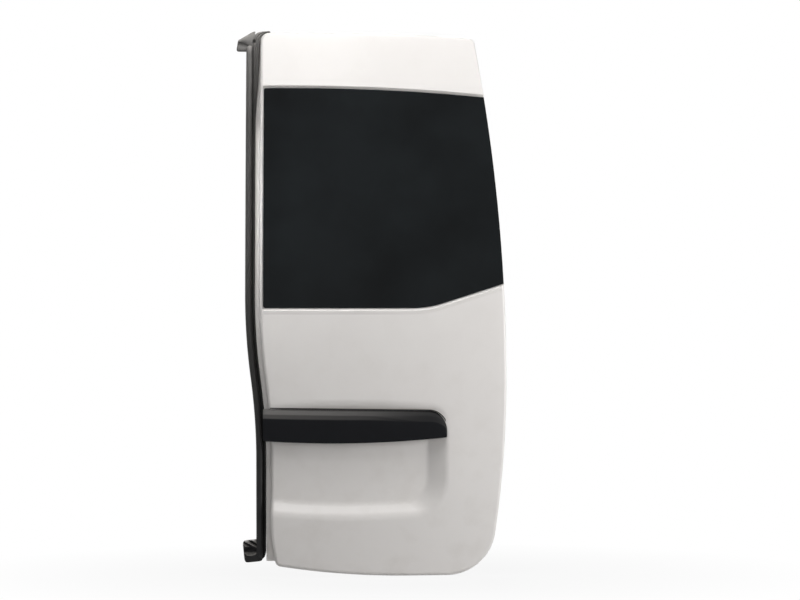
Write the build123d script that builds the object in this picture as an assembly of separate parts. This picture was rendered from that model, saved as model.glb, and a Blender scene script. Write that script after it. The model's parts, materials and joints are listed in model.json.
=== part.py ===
from build123d import *
import math
import os

# Rear door leaf of a small camper van, in millimetres. +X runs to the hinge edge, -Y to the outside, +Z up.
# The origin is the middle of the lower hinge seat. Every position is taken in the front view (X, Z) and as
# a depth behind the outer face, which is a patch of a torus.

# Outline of the outer skin in the front view
door_height = 1249.0
seat_above_bottom = 241.5
edge_overhang = 31.7
widest_above_bottom = 448.5
top_corner_x = -43.0
bottom_corner_x = -10.7
roof_droop = 10.0
roof_flat_end_x = -300.0
sill_flat_end_x = -200.0
sill_rise = 24.0
droop_power = 2
droop_spans = 3
meeting_edge_x = -536.0
meeting_jog = 26.0
jog_top_above_bottom = 645.0
jog_bottom_above_bottom = 264.5
foot_slant = 13.0
foot_slant_above_bottom = 126.0
sill_corner_radius = 112.0
top_corner_radius = 15.0
meeting_corner_radius = 21.0
foot_corner_radius = 14.0
margin = 200.0

# Crown of the outer face
plan_radius = 2500.0
side_radius = 5200.0
crown_x = -575.0
crown_above_bottom = 333.5

# Sheet metal section
sheet = 0.8
edge_radius = 8.0
tray_depth = 34.0
hem_width = 11.0
hem_play = 0.3
jamb_inset = 16.0
door_depth = 70.0
jamb_radius = 6.0
panel_seam_drop = 16.0

# Window
header_height = 129.0
glass_droop = 18.0
glass_droop_x = -20.0
glass_flat_end_x = -440.0
waist_above_bottom = 614.0
glass_left_x = -527.0
glass_edge_play = 0.6
glass_set = 0.5
glass_thickness = 4.0
glass_gap = 2.5
glass_top_gap = 6.0
upsweep_x = -150.0
upsweep_angle = 17.8
upsweep_radius = 230.0
glass_corner_radius = 5.0
rebate_depth = 8.5
rebate_width = 36.0
pillar_width = 58.0
frame_flange = 14.0
aperture_radius = 30.0
bead_width = 9.0
bead_inset = 7.0

# Recess and its moulding
recess_depth = 20.0
recess_side_slope = 55.0
recess_end_slope = 69.0
recess_right_x = -131.5
recess_top_above_bottom = 370.0
recess_bottom_above_bottom = 162.5
recess_floor_radius = 66.0
recess_head_radius = 24.0
recess_corner_growth = 34.0
recess_rim_radius = 32.0
recess_foot_radius = 24.0
recess_floor_sag = 9.0
recess_lift = 22.0
clear_front = 60.0
strip_left_x = -526.5
strip_right_x = -106.0
strip_top_above_bottom = 384.0
strip_fall = 6.0
strip_height = 74.0
strip_end_radius = 42.0
strip_proud = 9.0
strip_bevel_height = 23.0
strip_bevel_depth = 13.0
strip_wall = 2.5
strip_back = 25.0
fit_play = 0.3
gasket_width = 2.6
gasket_set = 1.0
gasket_end = 16.0
gasket_rise = 20.0

# Meeting flange and seal
flange_depth = 47.0
flange_sheet = 1.2
flange_reach = 29.0
flange_joggle = 4.0
flange_step = 5.0
flange_top_gap = 26.0
flange_bottom_gap = 33.0
flange_end_gap = 6.0
flange_play = 0.5
weld_leg = 20.0
seal_start = 11.4
seal_reach = 33.5
bulb_width = 16.5
bulb_front = 24.0
bulb_back = 42.0
grip_front = 41.0
grip_back = 54.0
grip_inset = 1.5
bulb_radius = 7.0
slot_play = 0.05
seal_top_gap = 41.5
seal_bottom_gap = 87.5
seal_end_back = 60.0
seal_end_play = 0.4
tongue_reach = 57.5
tongue_lean = 5.0
tongue_drop = 15.5
tongue_height = 25.5
tongue_front = 36.0
tongue_radius = 3.0
crest_front = 30.0
crest_rise = 4.0
crest_waist = 16.0
crest_radius = 1.5
lip_front = 20.0
lip_back = 42.0
lip_reach = 22.0
lip_rise = 6.5
eyelet_reach = 14.0
eyelet_drop = 24.0
eyelet_radius = 3.0
eyelet_depth = 14.0
foot_reach = 61.5
foot_lean = 4.0
foot_drop = 6.5
foot_height = 56.0
foot_front = 33.0
foot_round = 9.0
fold_radius = 11.0
fold_reach = 46.0
fold_drop = 36.0
fold_turn = 62.0
touch = 0.05

# Hinge seats, check strap seat and their plates
seat_depth = 52.0
seat_height = 92.0
seat_rise = 1.2
seat_width = 20.0
seat_margin = 6.0
hinge_spacing = 805.0
upper_seat_x = -38.0
hinge_bolt_spacing = 50.0
hinge_bolt_radius = 4.25
strap_seat_x = 8.0
strap_above_bottom = 600.0
strap_seat_height = 70.0
strap_bolt_spacing = 36.0
strap_bolt_radius = 3.25
tapping_plate = 5.0
tapping_width = 18.0
tapping_margin = 11.0

# Striker for the other leaf
striker_above_bottom = 206.5
striker_height = 70.0
striker_width = 16.0
striker_plate_thickness = 3.0
striker_depth = 58.0
striker_loop_radius = 3.5
striker_loop_half = 17.0
striker_loop_reach = 27.0
striker_bend = 9.0

# Latches at the top and bottom of the meeting side
latch_x = -462.0
latch_width = 70.0
latch_height = 52.0
latch_case_depth = 22.0
latch_radius = 5.0
latch_top_gap = 34.0
latch_bottom_gap = 60.0
latch_mouth = 15.0
latch_mouth_length = 30.0
claw_radius = 17.0
claw_near = 7.0
claw_far = 15.0
claw_offset = 13.0
claw_rise = 6.0
claw_notch = 12.0
claw_notch_length = 30.0
claw_notch_rise = 13.0
claw_notch_offset = -4.0
claw_notch_radius = 4.0
claw_play = 0.3

# Release lever
release_x = -474.0
release_above_bottom = 510.0
bezel_width = 54.0
bezel_height = 132.0
bezel_thickness = 3.0
bezel_radius = 12.0
ear_gap = 20.0
ear_thickness = 6.0
ear_height = 26.0
ear_depth = 13.0
ear_lap = 1.0
lever_width = 28.0
lever_length = 104.0
lever_thickness = 5.0
lever_standoff = 18.0
lever_radius = 10.0
neck_width = 18.0
neck_height = 20.0
neck_play = 0.5
neck_lap = 1.0
pin_radius = 3.0
pin_play = 0.1

# Lining, clips, buffers and plugs
lining_left_x = -425.0
lining_inset = 44.0
lining_top_gap = 34.0
lining_bottom_gap = 74.0
lining_corner = 26.0
lining_thickness = 2.5
lining_border = 28.0
lining_rise = 11.0
lining_radius = 8.0
lining_seat = 0.3
clip_border = 14.0
clip_count = 8
clip_head_radius = 9.0
clip_head = 3.0
clip_shank_radius = 3.5
clip_shank = 14.0
clip_lap = 1.0
clip_play = 1.2
buffer_radius = 12.0
buffer_height = 12.0
buffer_round = 4.0
upper_buffer_x = -130.0
upper_buffer_gap = 62.0
lower_buffer_x = -140.0
lower_buffer_gap = 43.0
header_plug_x = -300.0
header_plug_gap = 82.0
side_plug_x = -476.0
side_plugs_above_bottom = (330.0, 160.0)
plug_radius = 13.0
plug_height = 2.5
plug_body_radius = 10.5
plug_body = 4.0
plug_play = 0.6
plug_round = 1.5

# Derived places in the shared frame
bottom_z = -seat_above_bottom
top_z = bottom_z + door_height
widest_z = bottom_z + widest_above_bottom
crown_z = bottom_z + crown_above_bottom
waist_z = bottom_z + waist_above_bottom
jog_top_z = bottom_z + jog_top_above_bottom
jog_bottom_z = bottom_z + jog_bottom_above_bottom
low_edge_x = meeting_edge_x + meeting_jog
strap_z = bottom_z + strap_above_bottom
foot_z = bottom_z + foot_slant_above_bottom
reach = 600.0


def surface_y(x, z, depth=0.0):
    """Y of the door surface at a place in the front view, a depth behind the outer face."""
    drop = plan_radius - math.sqrt((plan_radius - depth) ** 2 - (x - crown_x) ** 2)
    return side_radius - math.sqrt((side_radius - drop) ** 2 - (z - crown_z) ** 2) - seat_y


seat_y = 0.0
seat_y = surface_y(0.0, 0.0, seat_depth)


def layer(near, far):
    """Space between two depths: a ring sector in plan, turned about the axis of the side crown."""
    centre_y = plan_radius - seat_y
    start = math.asin((meeting_edge_x - margin - crown_x) / plan_radius)
    end = math.asin((edge_overhang + margin - crown_x) / plan_radius)

    def spot(depth, angle):
        radius = plan_radius - depth
        return (crown_x + radius * math.sin(angle), centre_y - radius * math.cos(angle))

    middle = (start + end) / 2
    front = ThreePointArc(spot(near, start), spot(near, middle), spot(near, end))
    back = ThreePointArc(spot(far, end), spot(far, middle), spot(far, start))
    ring = front + Line(front @ 1, back @ 0) + back + Line(back @ 1, front @ 0)
    upward = math.degrees(math.asin((top_z + margin - crown_z) / side_radius))
    downward = math.degrees(math.asin((crown_z - bottom_z + margin) / side_radius))
    axis = Axis((0, side_radius - seat_y, crown_z), (1, 0, 0))
    section = Pos(0, 0, crown_z) * make_face(ring)
    return revolve(section, axis, upward + downward).rotate(axis, -upward)


def tangent_plane(x, z, depth):
    """Plane on the door surface at a depth, its X across the door and its normal to the outside."""
    turn = math.asin((x - crown_x) / (plan_radius - depth))
    drop = plan_radius - (plan_radius - depth) * math.cos(turn)
    lean = math.asin((z - crown_z) / (side_radius - drop))
    outward = (math.sin(turn), -math.cos(turn) * math.cos(lean), math.cos(turn) * math.sin(lean))
    across = (math.cos(turn), math.sin(turn) * math.cos(lean), -math.sin(turn) * math.sin(lean))
    return Plane((x, surface_y(x, z, depth), z), x_dir=across, z_dir=outward)


def prism(sketch):
    """A front-view sketch run straight through the door."""
    return extrude(Plane.XZ * sketch, amount=reach, both=True)


def plate(sketch, near, far):
    """A front-view sketch between two depths, following the crown of the door; it may not come out empty."""
    solid = prism(sketch) & layer(near, far)
    if solid is None or not solid.solids():
        raise ValueError(f"no solid between the depths {near} and {far}")
    return solid


def block(x0, x1, z0, z1, radius=0.0):
    """A front-view rectangle, with rounded corners where a radius is given."""
    shape = Pos((x0 + x1) / 2, (z0 + z1) / 2)
    if radius:
        return shape * RectangleRounded(x1 - x0, z1 - z0, radius)
    return shape * Rectangle(x1 - x0, z1 - z0)


def meeting_line(shift):
    """The meeting edge from top to bottom, moved left, with its jog made of two tangent arcs."""
    upper_x = meeting_edge_x - shift
    lower_x = low_edge_x - shift
    middle = ((upper_x + lower_x) / 2, (jog_top_z + jog_bottom_z) / 2)
    top = Line((upper_x, top_z + margin), (upper_x, jog_top_z))
    turn = TangentArc((upper_x, jog_top_z), middle, tangent=(0, -1))
    back = TangentArc((lower_x, jog_bottom_z), middle, tangent=(0, 1))
    low = Line((lower_x, jog_bottom_z), (lower_x, bottom_z - margin))
    return top + turn + back + low


def band(left, right, low_z, high_z):
    """Strip of the front view that follows the meeting edge between two shifts to its left."""
    near = meeting_line(right)
    far = meeting_line(left)
    ends = Line(near @ 0, far @ 0) + Line(near @ 1, far @ 1)
    span = block(meeting_edge_x - margin, meeting_edge_x + margin, low_z, high_z)
    return make_face(near.edges() + far.edges() + ends.edges()) & span


def falling_line(start, end):
    """Tangent arcs that leave a point level and bend ever faster towards another height."""
    spots = []
    for i in range(droop_spans + 1):
        share = i / droop_spans
        x = start[0] + share * (end[0] - start[0])
        spots.append((x, start[1] + (end[1] - start[1]) * share**droop_power))
    line = Curve()
    heading = Vector(end[0] - start[0], 0)
    for here, there in zip(spots, spots[1:]):
        arc = TangentArc(here, there, tangent=heading)
        heading = arc % 1
        line += arc
    return line


def sharp_outline():
    """Outer edge of the skin before its corners are rounded."""
    corner_left = (low_edge_x + foot_slant, bottom_z + sill_rise)
    corner_low = (bottom_corner_x, bottom_z)
    corner_top = (top_corner_x, top_z - roof_droop)
    widest = (edge_overhang, widest_z)
    middle = ((meeting_edge_x + low_edge_x) / 2, (jog_top_z + jog_bottom_z) / 2)
    wire = Line((meeting_edge_x, top_z), (meeting_edge_x, jog_top_z))
    wire += TangentArc((meeting_edge_x, jog_top_z), middle, tangent=(0, -1))
    wire += TangentArc((low_edge_x, jog_bottom_z), middle, tangent=(0, 1))
    wire += Line((low_edge_x, jog_bottom_z), (low_edge_x, foot_z))
    wire += TangentArc((low_edge_x, foot_z), corner_left, tangent=(0, -1))
    wire += falling_line((sill_flat_end_x, bottom_z), corner_left)
    wire += Line((sill_flat_end_x, bottom_z), corner_low)
    wire += TangentArc(widest, corner_low, tangent=(0, -1))
    wire += TangentArc(widest, corner_top, tangent=(0, 1))
    wire += falling_line((roof_flat_end_x, top_z), corner_top)
    wire += Line((roof_flat_end_x, top_z), (meeting_edge_x, top_z))
    return make_face(wire.edges())


def rounded_outline():
    """Outer edge of the skin in the front view."""
    face = sharp_outline()
    corners = [
        (meeting_edge_x, top_z, meeting_corner_radius),
        (top_corner_x, top_z - roof_droop, top_corner_radius),
        (bottom_corner_x, bottom_z, sill_corner_radius),
        (low_edge_x + foot_slant, bottom_z + sill_rise, foot_corner_radius),
    ]
    for x, z, radius in corners:
        spot = face.vertices().sort_by_distance((x, z, 0))[0]
        face = fillet(spot, radius)
    return face


outline = rounded_outline()


def inset(amount):
    """The outline moved inward, or outward for a negative amount."""
    if amount == 0:
        return outline
    return offset(outline, -amount, kind=Kind.ARC)


def recess_outline(left, right, low, high, growth):
    """Recess at one level: a block run out past the meeting edge, its hinge-side corners rounded."""
    face = block(left, right, low, high)
    for z, radius in ((low, recess_floor_radius), (high, recess_head_radius)):
        corner = face.vertices().sort_by_distance((right, z, 0))[0]
        face = fillet(corner, radius + growth)
    return face


def recess_tool(amount):
    """The recess as a solid to cut away: sloped walls round a crowned floor, its foot rounded."""
    centre_x = (low_edge_x + recess_right_x) / 2
    centre_z = bottom_z + (recess_top_above_bottom + recess_bottom_above_bottom) / 2
    turn = math.asin((centre_x - crown_x) / plan_radius)
    face_plane = tangent_plane(centre_x, centre_z, 0)
    depth = recess_depth + amount
    side = math.radians(recess_side_slope)
    end = math.radians(recess_end_slope)
    side_growth = amount * (1 / math.cos(side) - math.tan(side)) - recess_floor_sag * math.tan(side)
    end_growth = amount * (1 / math.cos(end) - math.tan(end)) - recess_floor_sag * math.tan(end)
    left = meeting_edge_x - margin - centre_x
    right = (recess_right_x - centre_x) / math.cos(turn) + end_growth
    high = bottom_z + recess_top_above_bottom - centre_z + side_growth
    low = bottom_z + recess_bottom_above_bottom - centre_z - side_growth
    floor = recess_outline(left, right, low, high, side_growth)
    climb = depth + recess_floor_sag + recess_lift
    run = climb * math.tan(side)
    mouth = recess_outline(left, right + climb * math.tan(end), low - run, high + run, recess_corner_growth)
    ends = [face_plane.offset(-depth - recess_floor_sag) * floor, face_plane.offset(recess_lift) * mouth]
    solid = loft(ends, ruled=True)
    solid = solid & layer(-clear_front, depth)
    foot = solid.faces().sort_by_distance(face_plane.offset(-depth).origin)[0]
    return fillet(foot.edges(), recess_foot_radius + amount)


def front_edges(solid, amount, on_outline):
    """Edges round the crowned front face: those on the door outline, or those round a cut in it."""
    border = inset(amount).edges()
    fronts = [f for f in solid.faces() if abs(f.center().Y - surface_y(f.center().X, f.center().Z, amount)) < 1]
    front = max(fronts, key=lambda f: f.area)
    chosen = []
    for edge in front.edges():
        spot = edge @ 0.5
        away = min(line.distance_to((spot.X, spot.Z, 0)) for line in border)
        if (away < 0.01) == on_outline:
            chosen.append(edge)
    return ShapeList(chosen)


def window(side, head, radius):
    """Window shape in the front view, run out past the hinge edge, grown at its sides and its head."""
    left = glass_left_x - side
    high = top_z - header_height + head
    low = waist_z - side
    far = edge_overhang + margin
    sweep = math.tan(math.radians(upsweep_angle))
    end_low = low + sweep * (far - upsweep_x)
    droop = glass_droop * ((far - glass_flat_end_x) / (glass_droop_x - glass_flat_end_x)) ** droop_power
    wire = Line((left, high), (glass_flat_end_x, high))
    wire += falling_line((glass_flat_end_x, high), (far, high - droop))
    wire += Line((far, high - droop), (far, end_low))
    wire += Line((far, end_low), (upsweep_x, low))
    wire += Line((upsweep_x, low), (left, low))
    wire += Line((left, low), (left, high))
    face = make_face(wire.edges())
    face = fillet(face.vertices().sort_by_distance((upsweep_x, low, 0))[0], upsweep_radius)
    for z in (low, high):
        face = fillet(face.vertices().sort_by_distance((left, z, 0))[0], radius)
    return face


def aperture(grow):
    """Clear window opening with rounded corners, grown by an amount."""
    radius = aperture_radius + grow
    face = window(grow - rebate_width, grow - rebate_width, radius) & inset(pillar_width - grow)
    middle = (waist_z + top_z - header_height) / 2
    high = face.vertices().filter_by(lambda spot: spot.Y > middle).sort_by(Axis.X)[-1]
    face = fillet(high, radius)
    low = face.vertices().filter_by(lambda spot: spot.Y < middle).sort_by(Axis.X)[-1]
    return fillet(low, radius)


def outline_edges(solid, amount):
    """Front edges on the door outline, through the recess as well."""
    border = inset(amount).edges()
    chosen = []
    for edge in solid.edges():
        spot = edge @ 0.5
        if spot.Y - surface_y(spot.X, spot.Z) > tray_depth - 8 or abs((edge % 0.5).Y) > 0.8:
            continue
        if min(line.distance_to((spot.X, spot.Z, 0)) for line in border) < 0.01:
            chosen.append(edge)
    return ShapeList(chosen)


def body(amount):
    """The solid the skin is pressed over, moved inward by an amount."""
    solid = plate(inset(amount), amount, tray_depth - amount) - recess_tool(amount)
    solid = fillet(front_edges(solid, amount, False), recess_rim_radius - amount)
    solid = fillet(outline_edges(solid, amount), edge_radius - amount)
    mouth = window(glass_gap + amount, glass_top_gap + amount, glass_corner_radius)
    rebate = plate(mouth, -clear_front, rebate_depth + amount)
    return solid - rebate


def glass_outline(amount):
    """Edge of the glass, moved inward by an amount."""
    return window(-amount, -amount, glass_corner_radius) & inset(glass_edge_play + amount)


def outer_skin():
    """Pressed outer sheet with its recess, window rebate and folded hem."""
    hem_opening = plate(inset(hem_width), tray_depth - 2 * sheet, tray_depth + sheet)
    return body(0) - [body(sheet), prism(aperture(0)), hem_opening]


def window_glass():
    """Curved pane, flush with the skin."""
    return plate(glass_outline(0), glass_set, glass_set + glass_thickness)


def glass_bead():
    """Adhesive bead between the pane and the rebate."""
    ring = glass_outline(bead_inset) - glass_outline(bead_inset + bead_width)
    return plate(ring, glass_set + glass_thickness, rebate_depth)


def seats():
    """Flat seats on the hinge side: plane, middle height, height, bolt spacing and bolt radius."""
    return [
        (0.0, 0.0, seat_height, hinge_bolt_spacing, hinge_bolt_radius),
        (upper_seat_x, hinge_spacing, seat_height, hinge_bolt_spacing, hinge_bolt_radius),
        (strap_seat_x, strap_z, strap_seat_height, strap_bolt_spacing, strap_bolt_radius),
    ]


def seat_notches(amount):
    """Front-view blocks that flatten the hinge jamb at its seats, grown by an amount."""
    notches = Sketch()
    for plane, height, tall, _, _ in seats():
        half = tall / 2 + amount
        notches += block(plane - seat_rise - amount, plane + margin, height - half, height + half)
    return notches


def seat_pads():
    """Raised pads on the flattened jamb, one for each seat."""
    pads = []
    for plane, height, tall, _, _ in seats():
        thickness = seat_rise + sheet
        spot = Pos(plane - thickness / 2, surface_y(plane, height, seat_depth), height)
        pads.append(spot * Box(thickness, seat_width, tall - 2 * seat_margin))
    return pads


def seat_bolts():
    """Bolt cylinders through every seat."""
    bolts = []
    for plane, height, _, spacing, radius in seats():
        middle_y = surface_y(plane, height, seat_depth)
        for side in (-1, 1):
            spot = Location((plane, middle_y, height + side * spacing / 2), (0, 90, 0))
            bolts.append(spot * Cylinder(radius, seat_height))
    return bolts


def tray(amount, near):
    """Back of the door as a solid, its rear edge rounded, moved inward by an amount."""
    solid = plate(inset(jamb_inset + amount), near, door_depth - amount)
    rear = max(solid.faces().filter_by(GeomType.TORUS), key=lambda f: f.center().Y)
    solid = fillet(rear.edges(), jamb_radius - amount)
    return solid - prism(seat_notches(amount))


def inner_panels():
    """Pressed inner sheets, the lower panel and the window frame, which meet below the waist."""
    hem_near = tray_depth - 2 * sheet - touch
    frame_near = rebate_depth + sheet + touch
    wall = frame_flange + sheet
    hollow = [tray(sheet, hem_near - sheet), prism(aperture(frame_flange))]
    flange = inset(sheet + hem_play) - (inset(jamb_inset + sheet) - seat_notches(sheet))
    shell = tray(0, hem_near) - hollow
    shell += [
        plate(flange, hem_near, hem_near + sheet),
        plate(aperture(wall) - aperture(frame_flange), frame_near, door_depth),
        plate(aperture(wall) - aperture(0), frame_near, frame_near + sheet),
        *seat_pads(),
    ]
    holes = [Pos(*place) * Circle(clip_shank_radius + clip_play) for place in clip_places()]
    holes += [Pos(*place) * Circle(plug_body_radius + plug_play) for place in plug_places()]
    shell -= seat_bolts() + [prism(hole) for hole in holes]
    seam = waist_z - panel_seam_drop
    below = block(meeting_edge_x - margin, edge_overhang + margin, bottom_z - margin, seam - touch)
    above = block(meeting_edge_x - margin, edge_overhang + margin, seam, top_z + margin)
    return shell & prism(below), shell & prism(above)


def tapping_plates():
    """Threaded plates behind the seats, one for each seat."""
    plates = []
    for plane, height, tall, _, _ in seats():
        middle_y = surface_y(plane, height, seat_depth)
        middle_x = plane - seat_rise - sheet - touch - tapping_plate / 2
        size = Box(tapping_plate, tapping_width, tall - 2 * tapping_margin)
        plates.append(Pos(middle_x, middle_y, height) * size - seat_bolts())
    return plates


def strip_outline(amount):
    """Trim strip in the front view, moved inward by an amount."""
    high = bottom_z + strip_top_above_bottom
    corners = [
        (strip_left_x, high),
        (strip_right_x, high - strip_fall),
        (strip_right_x, high - strip_height),
        (strip_left_x, high - strip_height),
    ]
    face = make_face(Polyline(*corners, close=True).edges())
    end = face.vertices().sort_by_distance((strip_right_x, high - strip_fall, 0))[0]
    face = fillet(end, strip_end_radius)
    return offset(face, -amount, kind=Kind.ARC) if amount else face


def strip_bevel(amount):
    """Space in front of the strip's sloped top, a section turned about the axis of the plan crown."""
    length = math.hypot(strip_bevel_height, strip_bevel_depth)
    back = strip_bevel_depth / length
    up = strip_bevel_height / length
    crease_radius = plan_radius + strip_proud - amount * up
    crease_z = bottom_z + strip_top_above_bottom - strip_bevel_height - amount * back
    low = (crease_radius + back * length, crease_z - up * length)
    high = (crease_radius - 2 * back * length, crease_z + 2 * up * length)
    far = plan_radius + clear_front
    section = make_face(Polyline(low, high, (far, high[1]), (far, low[1]), close=True).edges())
    start = math.asin((strip_left_x - margin - crown_x) / plan_radius)
    end = math.asin((strip_right_x + margin - crown_x) / plan_radius)
    middle = (crown_x, plan_radius - seat_y, 0)
    plane = Plane(middle, x_dir=(math.sin(start), -math.cos(start), 0), z_dir=(-math.cos(start), -math.sin(start), 0))
    return revolve(plane * section, Axis(middle, (0, 0, 1)), math.degrees(end - start))


def strip_form(amount):
    """Trim strip as a solid with a bevel along its top, moved inward by an amount."""
    return plate(strip_outline(amount), amount - strip_proud, strip_back + amount) - strip_bevel(amount)


def strip_pieces():
    """Hollow trim strip and the gasket above it, both trimmed to the recess."""
    pressed = body(-fit_play)
    strip = strip_form(0) - [strip_form(strip_wall), pressed]
    high = bottom_z + strip_top_above_bottom
    low = high - strip_height + gasket_rise
    ring = strip_outline(-gasket_width) - strip_outline(-fit_play)
    ring = ring & block(strip_left_x + gasket_end, strip_right_x + margin, low, high + margin)
    return strip, plate(ring, gasket_set, strip_back) - pressed


def meeting_flange():
    """Joggled angle strip on the meeting jamb that carries the seal."""
    wall = touch - jamb_inset
    low = bottom_z + flange_bottom_gap
    high = top_z - flange_top_gap
    near = flange_depth - flange_joggle
    far = flange_depth + flange_sheet
    lip_end = seal_start - flange_play
    arm_low = bottom_z + seal_bottom_gap + flange_end_gap
    arm_high = top_z - seal_top_gap - flange_end_gap
    leg = plate(band(wall + flange_sheet, wall, low, high), near, near + weld_leg)
    return leg + [
        plate(band(flange_step, wall, low, high), near, near + flange_sheet),
        plate(band(flange_step, flange_step - flange_sheet, low, high), near, far),
        plate(band(lip_end, flange_step - flange_sheet, low, high), flange_depth, far),
        plate(band(flange_reach, flange_step, arm_low, arm_high), flange_depth, far),
    ]


def meeting_seal():
    """Rubber seal: a rounded bulb in front of a grip that holds the flange."""
    low = bottom_z + seal_bottom_gap
    high = top_z - seal_top_gap
    bulb = plate(band(seal_reach, seal_reach - bulb_width, low, high), bulb_front, bulb_back)
    front = min(bulb.faces().filter_by(GeomType.TORUS), key=lambda f: f.center().Y)
    bulb = fillet(front.edges().filter_by(lambda e: abs((e % 0.5).Z) > 0.9), bulb_radius)
    grip = plate(band(seal_reach - grip_inset, seal_start, low, high), grip_front, grip_back)
    slot = band(flange_reach + slot_play, 0, low - margin, high + margin)
    slot_near = flange_depth - slot_play
    return bulb + grip - plate(slot, slot_near, flange_depth + flange_sheet + slot_play)


def rounded_plate(corners, near, far, radius):
    """A moulded block: front-view corners between two depths, the edges of its front rounded."""
    solid = plate(make_face(Polyline(*corners, close=True).edges()), near, far)
    front = min(solid.faces().filter_by(GeomType.TORUS), key=lambda f: f.center().Y)
    return fillet(front.edges(), radius)


def upper_seal_end():
    """Moulded upper end of the seal: a tongue, a rising crest with an eyelet, a lip over the door corner."""
    base = top_z - seal_top_gap + touch
    left = meeting_edge_x - tongue_reach
    shoulder = meeting_edge_x - seal_reach
    ridge = meeting_edge_x - seal_start
    tongue = [
        (left, top_z - tongue_drop - tongue_height),
        (left + tongue_lean, top_z - tongue_drop),
        (shoulder + tongue_radius, top_z - tongue_drop),
        (shoulder + tongue_radius, top_z - tongue_drop - tongue_height),
    ]
    crest = [
        (shoulder, base),
        (left + tongue_lean, top_z - tongue_drop),
        (meeting_edge_x - crest_waist, top_z),
        (ridge, top_z + crest_rise),
        (ridge, base),
    ]
    lip = [
        (meeting_edge_x - crest_waist, base),
        (meeting_edge_x - crest_waist, top_z - tongue_drop),
        (ridge, top_z + crest_rise),
        (meeting_edge_x + lip_reach - crest_rise, top_z + lip_rise),
        (meeting_edge_x + lip_reach, top_z - seal_end_play),
        (meeting_edge_x + lip_reach, top_z - seal_top_gap),
        (ridge, base),
    ]
    solid = rounded_plate(tongue, tongue_front, seal_end_back, tongue_radius)
    lip_face = make_face(Polyline(*lip, close=True).edges()) - inset(-seal_end_play)
    solid += [
        rounded_plate(crest, crest_front, seal_end_back, crest_radius),
        plate(lip_face, lip_front, lip_back),
    ]
    eyelet = tangent_plane(meeting_edge_x - eyelet_reach, top_z - eyelet_drop, lip_front + eyelet_depth)
    hole = eyelet * Cylinder(eyelet_radius, eyelet_depth + margin, align=(Align.CENTER, Align.CENTER, Align.MIN))
    return solid - hole


def lower_seal_end():
    """Moulded lower end of the seal: the bulb runs on to a rounded foot beside a folded block."""
    base = bottom_z + seal_bottom_gap - touch
    left = low_edge_x - foot_reach
    shoulder = low_edge_x - seal_reach
    low = base - foot_height
    block_corners = [
        (left, base - foot_drop),
        (shoulder + foot_lean, base),
        (shoulder + foot_lean, low),
        (left + 2 * foot_lean, low + foot_lean),
        (left, low + foot_lean + foot_round),
    ]
    column_corners = [
        (shoulder, base),
        (low_edge_x - seal_start, base),
        (low_edge_x - seal_start, low + 2 * foot_round),
        (low_edge_x - seal_start - foot_lean, low + foot_lean),
        (shoulder, low),
    ]
    solid = rounded_plate(block_corners, foot_front, seal_end_back, tongue_radius)
    solid += rounded_plate(column_corners, bulb_front, seal_end_back, bulb_radius)
    fold = tangent_plane(low_edge_x - fold_reach, base - fold_drop, foot_front - fold_radius / 2)
    return solid - [fold * Rot(0, fold_turn, 0) * Rot(90, 0, 0) * Cylinder(fold_radius, foot_height)]


def striker_pieces():
    """Striker plate on the meeting jamb and the bent loop that stands on it."""
    height = bottom_z + striker_above_bottom
    face_x = low_edge_x + jamb_inset - flange_sheet - 2 * touch
    middle_y = surface_y(face_x, height, striker_depth)
    size = Box(striker_plate_thickness, striker_width, striker_height)
    base = Pos(face_x - striker_plate_thickness / 2, middle_y, height) * size
    root = face_x - striker_plate_thickness
    tip = root - striker_loop_reach
    half = striker_loop_half
    path = FilletPolyline((root, -half), (tip, -half), (tip, half), (root, half), radius=striker_bend)
    path = Plane((0, middle_y, height), x_dir=(1, 0, 0), z_dir=(0, -1, 0)) * path
    section = Plane(path @ 0, z_dir=path % 0) * Circle(striker_loop_radius)
    return base, sweep(section, path)


def latch_pieces(low_z, way):
    """Latch case with its mouth towards one end, up for +1 or down for -1, and the claw in it."""
    middle_z = low_z + latch_height / 2
    tip_z = middle_z + way * latch_height / 2
    mouth_end = tip_z - way * latch_mouth_length
    half = latch_width / 2
    case = block(latch_x - half, latch_x + half, low_z, low_z + latch_height, latch_radius)
    ends = sorted((mouth_end, tip_z + way * latch_mouth_length))
    mouth = block(latch_x - latch_mouth / 2, latch_x + latch_mouth / 2, *ends)
    pivot = Pos(latch_x + claw_offset, mouth_end + way * claw_rise)
    near = door_depth + claw_near
    far = door_depth + claw_far
    pocket = plate(pivot * Circle(claw_radius + claw_play), near - claw_play, far + claw_play)
    solid = plate(case - mouth, door_depth + touch, door_depth + latch_case_depth) - pocket
    notch_spot = Pos(latch_x + claw_notch_offset, mouth_end + way * claw_notch_rise)
    notch = notch_spot * RectangleRounded(claw_notch_length, claw_notch, claw_notch_radius)
    return solid, plate(pivot * Circle(claw_radius) - notch, near, far)


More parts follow.
